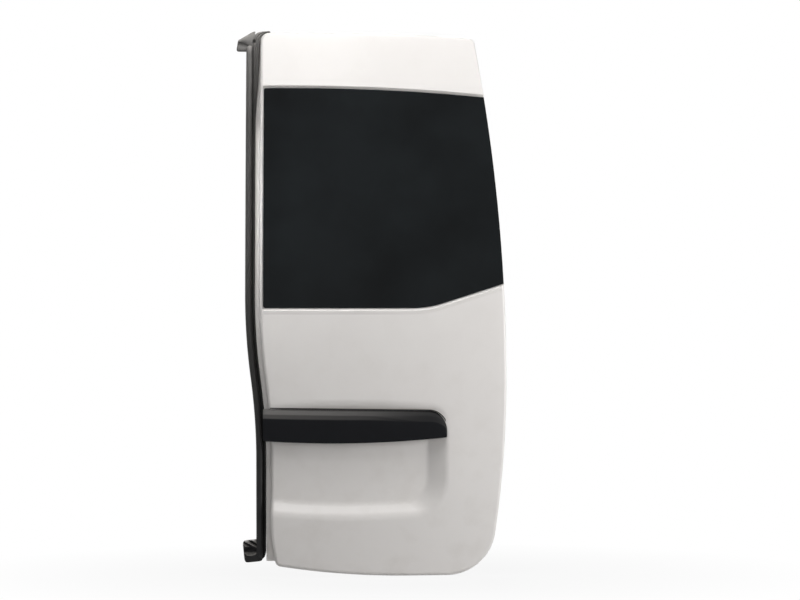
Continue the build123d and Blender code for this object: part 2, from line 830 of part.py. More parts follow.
def release_pieces():
    """Release lever with its bezel and pin, on the strip beside the lining."""
    middle = bottom_z + release_above_bottom
    near = door_depth + touch
    face = near + bezel_thickness
    half = bezel_height / 2
    half_wide = bezel_width / 2
    bezel = plate(
        block(release_x - half_wide, release_x + half_wide, middle - half, middle + half, bezel_radius), near, face
    )
    ear_high = middle + lever_length / 2
    ear_low = ear_high - ear_height
    for side in (-1, 1):
        inner = release_x + side * ear_gap / 2
        outer = inner + side * ear_thickness
        ear = block(min(inner, outer), max(inner, outer), ear_low, ear_high)
        bezel += plate(ear, face - ear_lap, face + ear_depth)
    pin_z = (ear_low + ear_high) / 2
    pin_y = surface_y(release_x, pin_z, face + (ear_depth + neck_lap) / 2)
    pin_spot = Location((release_x, pin_y, pin_z), (0, 90, 0))
    length = ear_gap + 2 * ear_thickness
    pin = pin_spot * Cylinder(pin_radius, length)
    bore = pin_spot * Cylinder(pin_radius + pin_play, length + ear_gap)
    half_lever = lever_width / 2
    low = middle - lever_length / 2
    paddle = block(release_x - half_lever, release_x + half_lever, low, ear_high, lever_radius)
    stand = face + lever_standoff
    lever = plate(paddle, stand, stand + lever_thickness)
    half_neck = neck_width / 2
    neck_low = pin_z - neck_height / 2
    neck = block(release_x - half_neck, release_x + half_neck, neck_low, neck_low + neck_height)
    lever += plate(neck, face + neck_play, stand + neck_lap)
    return bezel - bore, lever - bore, pin


def lining_outline(amount):
    """Lining in the inside view, moved inward by an amount."""
    low = bottom_z + lining_bottom_gap
    high = waist_z - lining_top_gap
    face = inset(lining_inset) & block(lining_left_x, edge_overhang + margin, low, high)
    for level, end in ((low, 0), (high, 0), (high, -1)):
        corner = face.vertices().filter_by(lambda spot: abs(spot.Y - level) < touch).sort_by(Axis.X)[end]
        face = fillet(corner, lining_corner)
    return offset(face, -amount, kind=Kind.ARC) if amount else face


def clip_places():
    """Middles of the lining clips, spaced evenly along its border."""
    path = lining_outline(clip_border).faces()[0].outer_wire()
    return [((path @ (i / clip_count)).X, (path @ (i / clip_count)).Y) for i in range(clip_count)]


def plug_places():
    """Middles of the hole plugs on the header and on the strip beside the lining."""
    places = [(header_plug_x, top_z - header_plug_gap)]
    return places + [(side_plug_x, bottom_z + height) for height in side_plugs_above_bottom]


def lining_field(border, near, far, radius):
    """Raised field of the lining as a solid, the edge of its room side rounded."""
    field = plate(lining_outline(border), near, far)
    rear = max(field.faces().filter_by(GeomType.TORUS), key=lambda f: f.center().Y)
    return fillet(rear.edges(), radius)


def lining_panel():
    """Moulded lining: flat border and a raised field, open towards the door."""
    near = door_depth + lining_seat
    face = near + lining_thickness
    outer = lining_field(lining_border, near, face + lining_rise, lining_radius)
    inner_border = lining_border + lining_thickness
    inner = lining_field(inner_border, near - lining_thickness, near + lining_rise, lining_radius - lining_thickness)
    holes = [prism(Pos(*place) * Circle(clip_shank_radius + clip_play)) for place in clip_places()]
    return plate(lining_outline(0), near, face) + outer - [inner, *holes]


def lining_clips():
    """Push clips through the lining border, heads outside and shanks through both sheets."""
    face = door_depth + lining_seat + lining_thickness + 2 * touch
    head = Cylinder(clip_head_radius, clip_head, align=(Align.CENTER, Align.CENTER, Align.MAX))
    shank = Cylinder(clip_shank_radius, clip_shank, align=(Align.CENTER, Align.CENTER, Align.MIN))
    clips = Part()
    for place in clip_places():
        clips += tangent_plane(*place, face) * (head + Pos(0, 0, -clip_lap) * shank)
    return clips


def rubber_buffers():
    """Rubber stops on the back of the door."""
    stops = Part()
    for x, z in ((upper_buffer_x, top_z - upper_buffer_gap), (lower_buffer_x, bottom_z + lower_buffer_gap)):
        stop = plate(Pos(x, z) * Circle(buffer_radius), door_depth + touch, door_depth + buffer_height)
        rear = max(stop.faces(), key=lambda f: f.center().Y)
        stops += fillet(rear.edges(), buffer_round)
    return stops


def hole_plugs():
    """Rubber plugs that close the holes of the paint shop."""
    cap = Cylinder(plug_radius, plug_height, align=(Align.CENTER, Align.CENTER, Align.MAX))
    cap = fillet(cap.edges().sort_by(Axis.Z)[0], plug_round)
    stem = Cylinder(plug_body_radius, plug_body, align=(Align.CENTER, Align.CENTER, Align.MIN))
    plugs = Part()
    for place in plug_places():
        plugs += tangent_plane(*place, door_depth + 2 * touch) * (cap + stem)
    return plugs


def build():
    """Every piece of the door by name."""
    lower_panel, window_frame = inner_panels()
    strip, gasket = strip_pieces()
    lower_plate, upper_plate, strap_plate = tapping_plates()
    striker_plate, striker_loop = striker_pieces()
    upper_case, upper_claw = latch_pieces(top_z - latch_top_gap - latch_height, 1)
    lower_case, lower_claw = latch_pieces(bottom_z + latch_bottom_gap, -1)
    bezel, lever, pin = release_pieces()
    return {
        "outer_skin": outer_skin(),
        "inner_panel": lower_panel,
        "window_frame": window_frame,
        "window_glass": window_glass(),
        "glass_bead": glass_bead(),
        "trim_strip": strip,
        "trim_strip_gasket": gasket,
        "meeting_flange": meeting_flange(),
        "meeting_seal": meeting_seal(),
        "seal_upper_end": upper_seal_end(),
        "seal_lower_end": lower_seal_end(),
        "lower_hinge_plate": lower_plate,
        "upper_hinge_plate": upper_plate,
        "check_strap_plate": strap_plate,
        "striker_plate": striker_plate,
        "striker_loop": striker_loop,
        "upper_latch_case": upper_case,
        "upper_latch_claw": upper_claw,
        "lower_latch_case": lower_case,
        "lower_latch_claw": lower_claw,
        "release_bezel": bezel,
        "release_lever": lever,
        "release_pin": pin,
        "lining_panel": lining_panel(),
        "lining_clips": lining_clips(),
        "rubber_buffers": rubber_buffers(),
        "hole_plugs": hole_plugs(),
    }


os.makedirs("parts", exist_ok=True)
for name, shape in build().items():
    print(name, len(shape.solids()), round(shape.volume), shape.is_valid)
    export_step(shape, os.path.join("parts", name + ".step"))
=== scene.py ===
# %% [markdown]
# # A glazed rear door leaf
# One leaf of the pair of doors at the back of a small van. The construction comes packed
# from CAD as named nodes. This lesson gives the nodes their real surfaces, adds the small
# things that CAD leaves out, and lights the door as a photo studio would.

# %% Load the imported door
import json

import bpy
import numpy as np
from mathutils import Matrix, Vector


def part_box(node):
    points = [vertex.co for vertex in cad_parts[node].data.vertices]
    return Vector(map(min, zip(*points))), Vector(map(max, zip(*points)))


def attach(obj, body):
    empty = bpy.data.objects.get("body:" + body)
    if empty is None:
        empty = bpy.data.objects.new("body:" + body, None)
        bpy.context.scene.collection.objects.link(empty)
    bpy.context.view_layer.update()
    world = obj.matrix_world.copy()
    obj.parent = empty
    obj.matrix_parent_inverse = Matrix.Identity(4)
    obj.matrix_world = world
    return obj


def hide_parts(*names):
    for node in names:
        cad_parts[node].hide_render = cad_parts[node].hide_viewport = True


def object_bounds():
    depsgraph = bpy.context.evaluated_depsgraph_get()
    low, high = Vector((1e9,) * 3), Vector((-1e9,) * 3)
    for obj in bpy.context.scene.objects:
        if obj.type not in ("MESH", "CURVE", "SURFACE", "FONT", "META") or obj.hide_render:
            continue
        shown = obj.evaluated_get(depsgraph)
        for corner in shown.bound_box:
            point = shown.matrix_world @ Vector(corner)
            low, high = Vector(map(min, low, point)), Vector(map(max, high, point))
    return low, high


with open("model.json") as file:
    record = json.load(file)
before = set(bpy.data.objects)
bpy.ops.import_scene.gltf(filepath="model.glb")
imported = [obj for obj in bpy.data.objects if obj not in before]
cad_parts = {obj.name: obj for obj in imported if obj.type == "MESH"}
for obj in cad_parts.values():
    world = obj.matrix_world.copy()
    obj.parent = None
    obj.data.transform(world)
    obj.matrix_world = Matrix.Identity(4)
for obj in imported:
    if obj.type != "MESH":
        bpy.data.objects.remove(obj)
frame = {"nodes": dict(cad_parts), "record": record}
cad_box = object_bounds()
nodes = frame["nodes"]
print("nodes", len(nodes), "box", [[round(c, 3) for c in corner] for corner in cad_box])

# %% [markdown]
# ## The shape of the door in one formula
# The outer face is bowed twice: strongly across the door and gently from sill to roof.
# Everything added here must follow that bow, so it is written once as a function of the
# front-view place and of the depth behind the paint. The left edge has a long soft jog
# halfway up, and it gets its own function, because the seal and the flange run along it.

# %% Bow of the door and run of its meeting edge
MM = 0.001
PLAN_RADIUS = 2.5
SIDE_RADIUS = 5.2
CROWN_X = -0.575
CROWN_Z = 0.092
SEAT_DEPTH = 0.052
EDGE_X = (-0.536, -0.510)
JOG_Z = (0.4035, 0.023)


def bow(x, z, depth):
    """How far back a place lies: a circle across the door, swung round a larger upright circle."""
    drop = PLAN_RADIUS - np.sqrt((PLAN_RADIUS - depth) ** 2 - (x - CROWN_X) ** 2)
    return SIDE_RADIUS - np.sqrt((SIDE_RADIUS - drop) ** 2 - (z - CROWN_Z) ** 2)


def door_y(x, z, depth):
    """Y of a place a depth behind the paint: the bow, less the bow at the lower hinge seat."""
    return bow(x, z, depth) - bow(0.0, 0.0, SEAT_DEPTH)


def edge_x(z):
    """X of the meeting edge: two parabolas join the upper and the lower straight with no kink."""
    t = np.clip((JOG_Z[0] - z) / (JOG_Z[0] - JOG_Z[1]), 0.0, 1.0)
    eased = np.where(t < 0.5, 2 * t**2, 1 - 2 * (1 - t) ** 2)
    return EDGE_X[0] + (EDGE_X[1] - EDGE_X[0]) * eased


print("paint at the crown lies at y", round(float(door_y(CROWN_X, CROWN_Z, 0.0)), 4))

# %% [markdown]
# ## Colours and nodes
# Colours are picked as a screen shows them, so one function turns them into linear light.
# One more adds a shader node: settings go in by name, and an input takes either a value
# or the output of another node. A third one starts a material, and hands back its shader
# and the place on the door in metres, which all patterns are laid out in.

# %% Colours and nodes


def linear(hex_colour):
    """Screen colour to linear light, with the curve of the screen undone in each channel."""
    part = np.array([int(hex_colour[i : i + 2], 16) for i in (1, 3, 5)]) / 255
    light = np.where(part <= 0.04045, part / 12.92, ((part + 0.055) / 1.055) ** 2.4)
    return (*light.tolist(), 1.0)


def add(tree, kind, inputs=None, **settings):
    """Adds a node, sets its options and fills its inputs with values or links."""
    made = tree.nodes.new(kind)
    for option, value in settings.items():
        setattr(made, option, value)
    for socket, value in (inputs or {}).items():
        if isinstance(value, bpy.types.NodeSocket):
            tree.links.new(value, made.inputs[socket])
        else:
            made.inputs[socket].default_value = value
    return made


def surface(name, **values):
    """A new material with its tree, the place in metres and the main shader with values set."""
    material = bpy.data.materials.new(name)
    material.use_nodes = True
    tree = material.node_tree
    shader = tree.nodes["Principled BSDF"]
    for socket, value in values.items():
        shader.inputs[socket.replace("_", " ")].default_value = value
    place = add(tree, "ShaderNodeTexCoord").outputs["Object"]
    return material, tree, place, shader


finishes = {}
print("mid grey on the screen is", round(linear("#808080")[0], 3), "of the light")

# %% [markdown]
# ## Patterns at their real size
# Real surfaces vary: in tone, in gloss and in height. A pattern gets its scale from a size
# in millimetres, so a grain of two millimetres is two millimetres on the door. The rest
# turn a pattern into what a shader needs: a range of values, a blend of two colours, a bump.
# The last tells how far a place faces the sky, for dust, painted highlights and reflections.

# %% Patterns


def per_metre(size_mm):
    """Scale of a pattern: how many of its features fit into a metre."""
    return 1000 / size_mm


def noise(tree, place, size_mm, detail):
    """A soft random pattern around one half, with features of a size in millimetres."""
    inputs = {"Vector": place, "Scale": per_metre(size_mm), "Detail": detail}
    return add(tree, "ShaderNodeTexNoise", inputs).outputs["Fac"]


def ranged(tree, value, before=(0.0, 1.0), after=(0.0, 1.0)):
    """Carries a value from one range over to another and holds it at both ends."""
    sockets = ("Value", "From Min", "From Max", "To Min", "To Max")
    inputs = dict(zip(sockets, (value, *before, *after)))
    return add(tree, "ShaderNodeMapRange", inputs).outputs["Result"]


def blend(tree, share, first, second):
    """Mixes two colours, each a screen colour or a link, by the share of the second."""
    first, second = (linear(c) if isinstance(c, str) else c for c in (first, second))
    inputs = {0: share, 6: first, 7: second}
    return add(tree, "ShaderNodeMix", inputs, data_type="RGBA").outputs[2]


def calc(tree, operation, *values):
    """One step of arithmetic on numbers or links."""
    inputs = dict(enumerate(values))
    return add(tree, "ShaderNodeMath", inputs, operation=operation).outputs["Value"]


def raised(tree, shader, height, strength, depth_mm):
    """Bends the light on a surface as if a pattern rose from it by a depth."""
    inputs = {"Height": height, "Strength": strength, "Distance": depth_mm * MM}
    bump = add(tree, "ShaderNodeBump", inputs)
    tree.links.new(bump.outputs["Normal"], shader.inputs["Normal"])


def facing_up(tree):
    """How much a place faces the sky: the upward part of its direction, one where it lies flat."""
    direction = add(tree, "ShaderNodeTexCoord").outputs["Normal"]
    return add(tree, "ShaderNodeSeparateXYZ", {"Vector": direction}).outputs["Z"]


print("one millimetre of pattern is a scale of", per_metre(1))

# %% [markdown]
# ## White van paint
# Factory white is a warm solid colour under a thin clear coat. Close up it has orange
# peel, a ripple a few millimetres wide, and an old door is a little grubby low down, where
# road spray dries. A broad noise shifts the white by a few percent. A second noise is the
# film of dust, and its share grows towards the sill.

# %% Paint
paint, tree, place, shader = surface(
    "white_van_paint", Roughness=0.42, Coat_Weight=0.25, Coat_Roughness=0.2
)
white = blend(tree, noise(tree, place, 250, 3.0), "#E9E5E2", "#F0EDEA")
height = add(tree, "ShaderNodeSeparateXYZ", {"Vector": place}).outputs["Z"]
most_dust = ranged(tree, height, (0.35, -0.25), (0.04, 0.2))
film = ranged(tree, noise(tree, place, 55, 8.0), (0.48, 0.8), (0.0, most_dust))
tree.links.new(blend(tree, film, white, "#B8AFA3"), shader.inputs["Base Color"])
raised(tree, shader, noise(tree, place, 5, 1.0), 0.12, 0.3)
finishes["body_paint"] = paint
print("paint", paint.name, len(tree.nodes), "nodes")

# %% [markdown]
# ## Privacy glass
# The rear window is toughened glass dyed so dark that it reads as black from outside. What
# tells it from plastic is its gloss, and faint wipe marks that run up and down. A noise
# stretched along Z gives those marks to the roughness alone, so that they only show where
# something bright is mirrored. A second, very broad noise clouds the dye a little.

# %% Glass
glass, tree, place, shader = surface("dark_privacy_glass", IOR=1.52, Specular_IOR_Level=0.1)
stretched = add(tree, "ShaderNodeMapping", {"Vector": place, "Scale": (1.0, 1.0, 0.06)})
wiped = noise(tree, stretched.outputs["Vector"], 9, 5.0)
streaks = ranged(tree, wiped, (0.35, 0.75), (0.03, 0.16))
tree.links.new(streaks, shader.inputs["Roughness"])
clouds = ranged(tree, noise(tree, place, 210, 3.0), (0.35, 0.65))
tree.links.new(blend(tree, clouds, "#0A0D0F", "#15191B"), shader.inputs["Base Color"])
finishes["tinted_glass"] = glass
print("glass", glass.name, len(tree.nodes), "nodes")

# %% [markdown]
# ## Moulded plastics and the adhesive bead
# The black moulding, the release lever, the lining and the bead of window adhesive are all
# poured or injected, so one recipe makes the four: two close tones in soft patches, a fine
# grain from the tool's etched wall, and a dull sheen. The grain is drawn a little coarser
# than the real half millimetre, or a picture this size would not show it.

# %% Plastics
# Each row: name, darker and lighter tone, patch, grain and grain depth in mm, roughness, gloss.
MOULDED = {
    "strip_plastic": ("grained_black_moulding", "#0B0C0F", "#121316", 70, 2.2, 0.25, 0.45, 0.1),
    "lever_plastic": ("satin_lever_nylon", "#1B1C1D", "#27282A", 40, 1.6, 0.15, 0.5, 0.3),
    "lining_plastic": ("grey_grained_lining", "#85878A", "#94969A", 160, 2.5, 0.3, 0.72, 0.3),
    "bead": ("window_adhesive", "#0E0E0F", "#1A1A1B", 25, 7.0, 0.5, 0.55, 0.3),
}
for slot_name, look in MOULDED.items():
    name, dark, light, patch_mm, grain_mm, grain_depth, rough, specular = look
    material, tree, place, shader = surface(name, Specular_IOR_Level=specular)
    patches = noise(tree, place, patch_mm, 4.0)
    tree.links.new(blend(tree, patches, dark, light), shader.inputs["Base Color"])
    sheen = ranged(tree, patches, after=(rough - 0.08, rough + 0.12))
    tree.links.new(sheen, shader.inputs["Roughness"])
    grain = add(tree, "ShaderNodeTexVoronoi", {"Vector": place, "Scale": per_metre(grain_mm)})
    raised(tree, shader, grain.outputs["Distance"], 0.35, grain_depth)
    finishes[slot_name] = material
print("moulded finishes", sorted(MOULDED))

# %% [markdown]
# ## Painted sky reflection on the moulding
# The sloping top of the black moulding is painted grey where it faces the sky: a painted
# reflection of the bright sky, strongest near the meeting edge, while its upright face stays
# black. The direction of the surface picks the sloping top, and the place across the door
# fades the grey out.

# %% Painted sky reflection on the top of the moulding
tree = finishes["strip_plastic"].node_tree
shader = tree.nodes["Principled BSDF"]
place = add(tree, "ShaderNodeTexCoord").outputs["Object"]
sideways = add(tree, "ShaderNodeSeparateXYZ", {"Vector": place}).outputs["X"]
# Painted reflection of the sky: the moulding is painted grey where it faces up, less so to the
# right.
sloping = ranged(tree, facing_up(tree), (0.15, 0.62))
fading = ranged(tree, sideways, (-0.5, -0.15), (0.95, 0.16))
painted_sky_reflection = calc(tree, "MULTIPLY", sloping, fading)
black = shader.inputs["Base Color"].links[0].from_socket
tree.links.new(blend(tree, painted_sky_reflection, black, "#73716F"), shader.inputs["Base Color"])
print("moulding", len(tree.nodes), "nodes")

# %% [markdown]
# ## Sealing rubber
# The seal is extruded rubber filled with carbon black. Its upper half is painted greyer the
# higher it lies, as a painted reflection of the bright sky, while the lower half stays black.
# The height of a place in metres drives that change, broken up by a noise, so it doesn't look
# sprayed on. Where the rubber faces up it is painted light: partly dust, partly a painted
# highlight on the folds. The same noise makes some places duller.

# %% Rubber
rubber, tree, place, shader = surface("sealing_rubber_painted_reflection", Specular_IOR_Level=0.25)
height = add(tree, "ShaderNodeSeparateXYZ", {"Vector": place}).outputs["Z"]
chalk = noise(tree, place, 30, 6.0)
# Painted reflection of the bright sky: the rubber is painted greyer with height, most of all near
# the top.
reflection_by_height = ranged(tree, height, (-0.1, 0.9), (0.015, 0.27))
reflection_at_top = ranged(tree, height, (0.8, 0.98), (0.0, 0.4))
grey = calc(tree, "ADD", reflection_by_height, reflection_at_top)
rubber_with_reflection = blend(tree, calc(tree, "MULTIPLY_ADD", chalk, grey, grey), "#101011", "#747270")
# Painted highlight, partly dust: places that face up are painted light grey, most of all on the
# folds and scoop.
dust_and_highlight = ranged(tree, facing_up(tree), (0.15, 0.6), (0.0, 0.75))
tree.links.new(blend(tree, dust_and_highlight, rubber_with_reflection, "#A19E9A"), shader.inputs["Base Color"])
dullness = ranged(tree, chalk, (0.3, 0.7), (0.42, 0.7))
tree.links.new(dullness, shader.inputs["Roughness"])
raised(tree, shader, noise(tree, place, 2.5, 3.0), 0.3, 0.3)
finishes["rubber"] = rubber
print("rubber", rubber.name, len(tree.nodes), "nodes")

# %% [markdown]
# ## Plated and pressed steel
# The hinge plates and the striker are zinc plated, with the soft patchwork of crystals that
# plating leaves. The latch cases are pressed from duller sheet. Both are metals, so the
# colour is the colour of the reflection, and the cells of the pattern vary it and its gloss.

# %% Steels
# Each row: name, darker and lighter tone, size of a crystal in mm, roughness.
PLATED = {
    "zinc_steel": ("zinc_plated_steel", "#A9A79F", "#C9C7BF", 8.0, 0.34),
    "latch_steel": ("pressed_latch_sheet", "#87868A", "#A3A19D", 14.0, 0.42),
}
for slot_name, (name, dark, light, cell_mm, rough) in PLATED.items():
    material, tree, place, shader = surface(name, Metallic=1.0)
    cells = add(tree, "ShaderNodeTexVoronoi", {"Vector": place, "Scale": per_metre(cell_mm)})
    drawn = add(tree, "ShaderNodeSeparateColor", {"Color": cells.outputs["Color"]})
    tone = blend(tree, drawn.outputs["Red"], dark, light)
    tree.links.new(tone, shader.inputs["Base Color"])
    gloss = ranged(tree, drawn.outputs["Green"], after=(rough - 0.06, rough + 0.14))
    tree.links.new(gloss, shader.inputs["Roughness"])
    finishes[slot_name] = material
print("steel finishes", sorted(PLATED))

# %% [markdown]
# ## Every node gets its finish
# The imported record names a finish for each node, so the list is read from there, and no
# name is typed twice.

# %% Dress the nodes
for row in frame["record"]["subparts"]:
    for holder in nodes[row["node"]].material_slots:
        holder.material = finishes[row["material_slot"]]

# %% [markdown]
# ## Even shading on the pressed sheets
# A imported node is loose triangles, and now and then one corner of a big triangle carries the
# direction of its small neighbour, which shows as a pale smudge on white paint. Welding the
# corners, splitting at true creases and weighing the directions by area evens the shading,
# and it leaves the shape and the mesh data alone, because all three are modifiers.

# %% Weld, crease and weigh
CREASE_ANGLE = np.radians(24)
WELD_REACH = 0.01 * MM
AREA_WEIGHT = 80
for sheet_name in ("outer_skin", "inner_panel", "window_frame", "meeting_flange"):
    sheet = nodes[sheet_name]
    sheet.modifiers.new("weld", "WELD").merge_threshold = WELD_REACH
    sheet.modifiers.new("crease", "EDGE_SPLIT").split_angle = CREASE_ANGLE
    sheet.modifiers.new("weigh", "WEIGHTED_NORMAL").weight = AREA_WEIGHT
print("evened at creases over", round(float(np.degrees(CREASE_ANGLE))), "degrees")

# %% [markdown]
# ## Surfaces from arrays
# Each piece added here is a skin over a grid: rows run along it and columns run round it.
# One function turns such a grid into faces, closes both ends with one face each, and turns
# the faces outward by the sign of the volume inside. A second one softens the corners of a
# drawn line by cutting them again and again, and a third spaces its points evenly.

# %% From grids to pieces
SHARP_EDGE = np.radians(40)


def soften(line, times, closed):
    """Cuts every corner at a quarter and three quarters of each run, the given number of times."""
    line = np.asarray(line, float)
    for _ in range(times):
        ahead = np.roll(line, -1, axis=0) if closed else line[1:]
        start = line if closed else line[:-1]
        cut = np.stack([0.75 * start + 0.25 * ahead, 0.25 * start + 0.75 * ahead], axis=1)
        cut = cut.reshape(-1, line.shape[1])
        line = cut if closed else np.vstack([line[:1], cut, line[-1:]])
    return line


def evenly(line, count):
    """The same line with a count of points at equal steps of its length."""
    steps = np.linalg.norm(np.diff(line, axis=0), axis=1)
    walked = np.concatenate([[0.0], np.cumsum(steps)])
    stops = np.linspace(0.0, walked[-1], count)
    return np.stack([np.interp(stops, walked, column) for column in line.T], axis=1)


def shell(grid):
    """Corners and faces of a closed skin over a grid of rows, with both ends closed, facing out."""
    rows, columns = grid.shape[:2]
    corners = grid.reshape(-1, 3)
    here = np.arange((rows - 1) * columns).reshape(rows - 1, columns)
    beside = np.roll(here, -1, axis=1)
    quads = np.stack([here, beside, beside + columns, here + columns], axis=-1).reshape(-1, 4)
    first = np.arange(columns)[::-1]
    last = np.arange(columns) + (rows - 1) * columns
    fans = [
        np.stack([np.full(columns - 2, end[0]), end[1:-1], end[2:]], axis=1)
        for end in (first, last)
    ]
    thirds = np.vstack([quads[:, [0, 1, 2]], quads[:, [0, 2, 3]], *fans])
    a, b, c = (corners[thirds[:, i]] for i in range(3))
    volume = np.einsum("ij,ij->", a, np.cross(b, c)) / 6
    faces = quads.tolist() + [first.tolist(), last.tolist()]
    return corners, faces if volume > 0 else [face[::-1] for face in faces]


def make_piece(name, shells, slot_name, stands_for=()):
    """One object from several skins, in the finish of a record slot, riding on the door."""
    corners, faces, base = [], [], 0
    for part_corners, part_faces in shells:
        corners.append(part_corners)
        faces += [[index + base for index in face] for face in part_faces]
        base += len(part_corners)
    mesh = bpy.data.meshes.new(name)
    mesh.from_pydata(np.vstack(corners).tolist(), [], faces)
    mesh.shade_smooth()
    mesh.set_sharp_from_angle(angle=SHARP_EDGE)
    mesh.materials.append(finishes[slot_name])
    made = bpy.data.objects.new(name, mesh)
    bpy.context.scene.collection.objects.link(made)
    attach(made, "root")
    if stands_for:
        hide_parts(*stands_for)
    print(name, len(faces), "faces")


# %% [markdown]
# ## The seal on the meeting edge
# Real seals are extruded: one profile, pushed out by the metre. This one has a bulb that
# the other door presses flat, a groove beside it, a thin lip against the paint and a
# slotted foot that grips the flange. So it is a profile carried along the meeting edge, and
# at both ends it is drawn in, where the moulded ends take over.

# %% Extruded seal
# Each corner: how far outside the meeting edge and how deep behind the paint, in mm.
SEAL_PROFILE = [
    (33.5, 30.0), (33.5, 38.0), (31.6, 42.0), (32.0, 46.0), (32.0, 54.0), (22.0, 54.0),
    (11.4, 54.0), (11.4, 48.4), (20.0, 48.3), (29.0, 48.3), (29.0, 46.9), (20.0, 46.9),
    (11.4, 46.8), (11.4, 40.0), (12.6, 36.6), (15.2, 36.6), (16.6, 41.0), (18.0, 41.0),
    (18.6, 34.0), (18.6, 28.5), (20.8, 24.9), (25.0, 23.9), (30.0, 25.2),
]
SEAL_MIDDLE = np.array([22.0, 45.0]) * MM
SEAL_LOW, SEAL_HIGH = -0.205, 0.986
SEAL_ROWS = 221
TAPER = 0.022
LEAST_SWELL = 0.02


def seal_grid():
    """The profile at each height, shrunk towards its middle on a quarter circle at both ends."""
    profile = soften(SEAL_PROFILE, 2, True) * MM
    run = np.linspace(SEAL_LOW, SEAL_HIGH, SEAL_ROWS)
    tip = np.clip(np.minimum(run - SEAL_LOW, SEAL_HIGH - run) / TAPER, 0.0, 1.0)
    swell = np.sqrt(np.clip(1 - (1 - tip) ** 2, LEAST_SWELL, 1.0))[:, None, None]
    shift, depth = np.moveaxis(SEAL_MIDDLE + (profile - SEAL_MIDDLE)[None] * swell, -1, 0)
    level = np.repeat(run[:, None], len(profile), axis=1)
    across = edge_x(level) - shift
    return np.stack([across, door_y(across, level, depth), level], axis=-1)


make_piece("seal_extrusion", [shell(seal_grid())], "rubber", ["meeting_seal"])

# %% [markdown]
# ## Moulded ends of the seal
# Each end is a separate moulding. The upper one has a soft tongue, a raised fold and a
# ribbed lip that hugs the rounded corner of the door. A lip is drawn by two curves, one at
# the door and one outside, with an oval section between them. Whatever is pushed into its
# face, such as ribs or a pit, comes from a function of the place.

# %% Shapes for the moulded ends
PAD_TURNS, PAD_LIFTS = 112, 80
NEAR_POLE = 0.995 * np.pi / 2
LIP_ROWS, LIP_COLUMNS = 110, 72
LIP_FULLNESS = 0.6
FULL_AFTER = 0.4


def pad(centre, half, squareness, lean, tilt, wave=None):
    """Rounded block: a ball pushed out until its coordinates' powers add to one, then sheared."""
    turn = np.linspace(-np.pi, np.pi, PAD_TURNS, endpoint=False)
    turn, lift = np.meshgrid(turn, np.linspace(-NEAR_POLE, NEAR_POLE, PAD_LIFTS))
    ball = np.stack([np.cos(lift) * np.cos(turn), np.cos(lift) * np.sin(turn), np.sin(lift)])
    ball /= (np.abs(ball) ** squareness).sum(axis=0) ** (1 / squareness)
    x = centre[0] + half[0] * ball[0]
    depth = centre[1] - half[1] * ball[1]
    z = centre[2] + half[2] * ball[2]
    x, z = x + lean * (z - centre[2]), z + tilt * (x - centre[0])
    if wave:
        depth = depth + wave(x, z) * np.clip(ball[1], 0.0, 1.0)
    return shell(np.stack([x, door_y(x, z, depth), z], axis=-1))


def lip_band(at_door, outside, front, back, foot, wave):
    """Oval section between two curves, from front to back, thinned by a foot share at its start."""
    near = evenly(soften(at_door, 3, False), LIP_ROWS) * MM
    far = evenly(soften(outside, 3, False), LIP_ROWS) * MM
    angle = np.linspace(0.0, 2 * np.pi, LIP_COLUMNS, endpoint=False)
    share = (0.5 - 0.5 * np.cos(angle))[None]
    x = near[:, :1] * (1 - share) + far[:, :1] * share
    z = near[:, 1:] * (1 - share) + far[:, 1:] * share
    bulge = np.sign(np.sin(angle)) * np.abs(np.sin(angle)) ** LIP_FULLNESS
    grown = np.clip(np.linspace(0.0, 1 / FULL_AFTER, LIP_ROWS), 0.0, 1.0)
    thick = (foot + (1 - foot) * np.sin(np.pi / 2 * grown))[:, None]
    depth = ((front + back) / 2 - (back - front) / 2 * bulge[None] * thick) * MM
    depth = depth + wave(x, z, share) * np.clip(np.sin(angle), 0.0, 1.0)[None] * thick
    return shell(np.stack([x, door_y(x, z, depth), z], axis=-1))


print("a pad has", PAD_TURNS * PAD_LIFTS, "corners, a lip", LIP_ROWS * LIP_COLUMNS)

# %% [markdown]
# ## Upper end
# Three shapes overlap as one moulding: the tongue, the fold across it and the long lip that
# runs up the door and round its corner. The lip has three fine ribs, and a small eyelet is
# pressed through where the three meet, as a steep pit that both the fold and the lip share.

# %% Upper end
EYELET = (-0.5505, 0.988)
EYELET_HALF = (3.4 * MM, 5.2 * MM)
EYELET_DEPTH = 14 * MM
RIB_COUNT = 3.5
RIB_HEIGHT = 1.6 * MM
# The curves are places in the front view, in mm across and up.
LIP_AT_DOOR = [
    (-548.5, 770.0), (-544.5, 850.0), (-540.5, 905.0), (-539.0, 943.0), (-538.4, 970.0),
    (-536.6, 987.0), (-533.0, 999.0), (-526.0, 1005.8), (-517.0, 1008.0), (-514.5, 1008.2),
]
LIP_OUTSIDE = [
    (-551.0, 770.0), (-551.0, 850.0), (-551.5, 905.0), (-552.0, 940.0), (-553.0, 980.0),
    (-551.5, 1000.0), (-546.0, 1010.0), (-532.0, 1012.6), (-518.0, 1013.8), (-514.5, 1012.6),
]
FOLD_LOW = [(-588.0, 986.0), (-578.0, 985.0), (-566.0, 978.0), (-556.0, 969.0), (-549.0, 970.0)]
FOLD_HIGH = [
    (-589.5, 991.0), (-580.0, 998.0), (-566.0, 1006.0), (-556.0, 1012.5), (-549.5, 1013.5),
]
TONGUE = (-0.5765, 47.5 * MM, 0.981)
TONGUE_HALF = (14.5 * MM, 12.0 * MM, 14.5 * MM)


def eyelet(x, z, share):
    """A steep pit: full depth inside an oval, falling to nothing just outside it."""
    reach = ((x - EYELET[0]) / EYELET_HALF[0]) ** 2 + ((z - EYELET[1]) / EYELET_HALF[1]) ** 2
    return EYELET_DEPTH * np.exp(-(reach**3))


def ribs(x, z, share):
    """Fine ribs along the lip, as a cosine across its share, plus the eyelet."""
    return RIB_HEIGHT * np.cos(2 * np.pi * RIB_COUNT * share) + eyelet(x, z, share)


